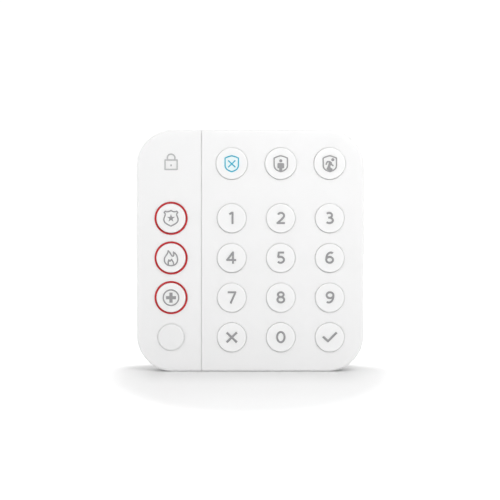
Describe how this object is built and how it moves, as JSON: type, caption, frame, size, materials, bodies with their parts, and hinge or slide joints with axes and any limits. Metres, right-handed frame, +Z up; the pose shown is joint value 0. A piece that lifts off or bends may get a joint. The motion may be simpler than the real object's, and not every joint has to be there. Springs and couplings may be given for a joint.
{
  "type": "alarm keypad panel",
  "caption": "Slim square wall keypad with round corners: number pad, larger mode keys, a side strip of red-bordered alert keys with a blank sensor window, and a slide-off wall bracket.",
  "frame": {"origin": "middle of the foot of the case, half way between the key tops and the back of the wall bracket", "axes": "+Z up, +Y from the keys back to the wall, +X to the right of someone facing the keys"},
  "size_m": [0.116, 0.024, 0.1234],
  "materials": {
    "case_plastic": "fine satin moulded texture",
    "housing_plastic": "fine moulded texture",
    "bracket_plastic": "moulded texture",
    "key_plastic": "smooth satin, lets light through",
    "red_plastic": "smooth, lit red",
    "lens_plastic": "smooth milky film",
    "sensor_metal": "drawn can",
    "dome_silicone": "soft matte",
    "board_laminate": "solder mask",
    "lamp_resin": "clear resin",
    "tinned_steel": "tinned sheet",
    "chip_resin": "moulded resin",
    "gasket_foam": "closed-cell foam",
    "black_plastic": "moulded",
    "cone_film": "formed film",
    "plated_magnet": "nickel plate",
    "lead_sleeve": "smooth sleeve",
    "cell_foil": "laminated foil",
    "connector_plastic": "moulded nylon",
    "socket_steel": "plated sheet",
    "button_plastic": "moulded",
    "screw_steel": "zinc plate",
    "legend_film": "printed film of the legends, used by the visual model",
    "contact_gold": "gold plate of the contacts, used by the visual model"
  },
  "bodies": {
    "case": {"keypad_panel": "case_plastic", "side_strip": "case_plastic", "rear_housing": "housing_plastic", "sensor_lens": "lens_plastic", "motion_sensor": "sensor_metal", "dome_mat": "dome_silicone", "main_board": "board_laminate", "key_leds": "lamp_resin", "radio_shield": "tinned_steel", "processor_chip": "chip_resin", "speaker_gasket": "gasket_foam", "speaker_frame": "black_plastic", "speaker_cone": "cone_film", "speaker_magnet": "plated_magnet", "speaker_leads": "lead_sleeve", "battery_cell": "cell_foil", "battery_pad": "gasket_foam", "battery_leads": "lead_sleeve", "battery_plug": "connector_plastic", "battery_socket": "connector_plastic", "usb_socket": "socket_steel", "usb_tongue": "black_plastic", "reset_switch": "black_plastic", "case_screws": "screw_steel", "board_screws": "screw_steel", "surround_police": "red_plastic", "surround_fire": "red_plastic", "surround_medical": "red_plastic"},
    "key_1": {"key_1": "key_plastic"},
    "key_2": {"key_2": "key_plastic"},
    "key_3": {"key_3": "key_plastic"},
    "key_4": {"key_4": "key_plastic"},
    "key_5": {"key_5": "key_plastic"},
    "key_6": {"key_6": "key_plastic"},
    "key_7": {"key_7": "key_plastic"},
    "key_8": {"key_8": "key_plastic"},
    "key_9": {"key_9": "key_plastic"},
    "key_cancel": {"key_cancel": "key_plastic"},
    "key_0": {"key_0": "key_plastic"},
    "key_enter": {"key_enter": "key_plastic"},
    "key_disarm": {"key_disarm": "key_plastic"},
    "key_home": {"key_home": "key_plastic"},
    "key_away": {"key_away": "key_plastic"},
    "key_police": {"key_police": "key_plastic"},
    "key_fire": {"key_fire": "key_plastic"},
    "key_medical": {"key_medical": "key_plastic"},
    "reset_button": {"reset_button": "button_plastic"},
    "wall_bracket": {"wall_bracket": "bracket_plastic"}
  },
  "joints": [
    {"name": "key_1_press", "type": "slide", "parent": "case", "child": "key_1", "axis": [0, 1, 0], "range_m": [0, 0.0008], "stiffness_N_per_m": 1500, "springref_m": -0.0004, "deforming": ["dome_mat"]},
    {"name": "key_2_press", "type": "slide", "parent": "case", "child": "key_2", "axis": [0, 1, 0], "range_m": [0, 0.0008], "stiffness_N_per_m": 1500, "springref_m": -0.0004, "deforming": ["dome_mat"]},
    {"name": "key_3_press", "type": "slide", "parent": "case", "child": "key_3", "axis": [0, 1, 0], "range_m": [0, 0.0008], "stiffness_N_per_m": 1500, "springref_m": -0.0004, "deforming": ["dome_mat"]},
    {"name": "key_4_press", "type": "slide", "parent": "case", "child": "key_4", "axis": [0, 1, 0], "range_m": [0, 0.0008], "stiffness_N_per_m": 1500, "springref_m": -0.0004, "deforming": ["dome_mat"]},
    {"name": "key_5_press", "type": "slide", "parent": "case", "child": "key_5", "axis": [0, 1, 0], "range_m": [0, 0.0008], "stiffness_N_per_m": 1500, "springref_m": -0.0004, "deforming": ["dome_mat"]},
    {"name": "key_6_press", "type": "slide", "parent": "case", "child": "key_6", "axis": [0, 1, 0], "range_m": [0, 0.0008], "stiffness_N_per_m": 1500, "springref_m": -0.0004, "deforming": ["dome_mat"]},
    {"name": "key_7_press", "type": "slide", "parent": "case", "child": "key_7", "axis": [0, 1, 0], "range_m": [0, 0.0008], "stiffness_N_per_m": 1500, "springref_m": -0.0004, "deforming": ["dome_mat"]},
    {"name": "key_8_press", "type": "slide", "parent": "case", "child": "key_8", "axis": [0, 1, 0], "range_m": [0, 0.0008], "stiffness_N_per_m": 1500, "springref_m": -0.0004, "deforming": ["dome_mat"]},
    {"name": "key_9_press", "type": "slide", "parent": "case", "child": "key_9", "axis": [0, 1, 0], "range_m": [0, 0.0008], "stiffness_N_per_m": 1500, "springref_m": -0.0004, "deforming": ["dome_mat"]},
    {"name": "key_cancel_press", "type": "slide", "parent": "case", "child": "key_cancel", "axis": [0, 1, 0], "range_m": [0, 0.0008], "stiffness_N_per_m": 1500, "springref_m": -0.0004, "deforming": ["dome_mat"]},
    {"name": "key_0_press", "type": "slide", "parent": "case", "child": "key_0", "axis": [0, 1, 0], "range_m": [0, 0.0008], "stiffness_N_per_m": 1500, "springref_m": -0.0004, "deforming": ["dome_mat"]},
    {"name": "key_enter_press", "type": "slide", "parent": "case", "child": "key_enter", "axis": [0, 1, 0], "range_m": [0, 0.0008], "stiffness_N_per_m": 1500, "springref_m": -0.0004, "deforming": ["dome_mat"]},
    {"name": "key_disarm_press", "type": "slide", "parent": "case", "child": "key_disarm", "axis": [0, 1, 0], "range_m": [0, 0.0008], "stiffness_N_per_m": 1500, "springref_m": -0.0004, "deforming": ["dome_mat"]},
    {"name": "key_home_press", "type": "slide", "parent": "case", "child": "key_home", "axis": [0, 1, 0], "range_m": [0, 0.0008], "stiffness_N_per_m": 1500, "springref_m": -0.0004, "deforming": ["dome_mat"]},
    {"name": "key_away_press", "type": "slide", "parent": "case", "child": "key_away", "axis": [0, 1, 0], "range_m": [0, 0.0008], "stiffness_N_per_m": 1500, "springref_m": -0.0004, "deforming": ["dome_mat"]},
    {"name": "key_police_press", "type": "slide", "parent": "case", "child": "key_police", "axis": [0, 1, 0], "range_m": [0, 0.0008], "stiffness_N_per_m": 1500, "springref_m": -0.0004, "deforming": ["dome_mat"]},
    {"name": "key_fire_press", "type": "slide", "parent": "case", "child": "key_fire", "axis": [0, 1, 0], "range_m": [0, 0.0008], "stiffness_N_per_m": 1500, "springref_m": -0.0004, "deforming": ["dome_mat"]},
    {"name": "key_medical_press", "type": "slide", "parent": "case", "child": "key_medical", "axis": [0, 1, 0], "range_m": [0, 0.0008], "stiffness_N_per_m": 1500, "springref_m": -0.0004, "deforming": ["dome_mat"]},
    {"name": "reset_press", "type": "slide", "parent": "case", "child": "reset_button", "axis": [-1, 0, 0], "range_m": [0, 0.00025], "stiffness_N_per_m": 4000, "springref_m": -0.0001},
    {"name": "bracket_slide", "type": "slide", "parent": "case", "child": "wall_bracket", "axis": [0, 0, -1], "range_m": [0, 0.006]}
  ]
}
